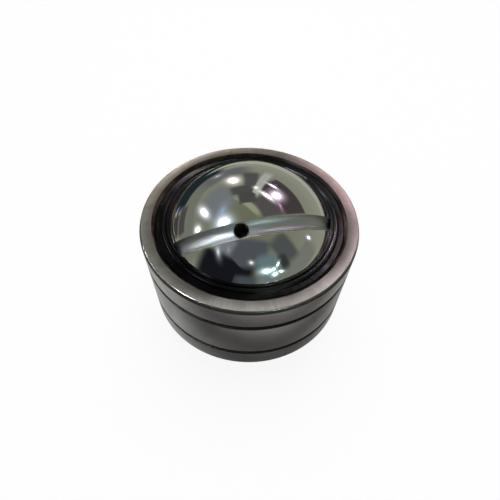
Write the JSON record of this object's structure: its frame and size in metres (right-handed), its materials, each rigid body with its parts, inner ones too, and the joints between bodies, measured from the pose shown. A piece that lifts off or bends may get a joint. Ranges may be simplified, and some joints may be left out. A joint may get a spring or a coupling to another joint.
{
  "type": "sealed spherical plain bushing",
  "caption": "Self-aligning steel bushing: an outer ring with a spherical bore and rubber lip seals holds a polished ball ring with a pin bore, shown turned crosswise.",
  "frame": {"origin": "centre of the ball, which is the middle of the outer ring on its axis", "axes": "+Z along the outer ring's axis, towards the seal that the picture shows; +X along the axis about which the inner ring is turned; the inner ring's bore axis leans 64 degrees from +Z towards +Y at rest"},
  "size_m": [0.11, 0.11, 0.0978],
  "materials": {
    "ground_steel": "ground faces, dark unground grooves and chamfers",
    "polished_steel": "mirror polished",
    "seal_rubber": "glossy black, lightly greased"
  },
  "bodies": {
    "outer_body": {"outer_ring": "ground_steel", "upper_seal": "seal_rubber", "lower_seal": "seal_rubber"},
    "inner_body": {"inner_ring": "polished_steel"}
  },
  "joints": [
    {"name": "ball_swivel", "type": "hinge", "parent": "outer_body", "child": "inner_body", "pos_m": [0, 0, 0], "axis": [1, 0, 0], "continuous": true}
  ]
}
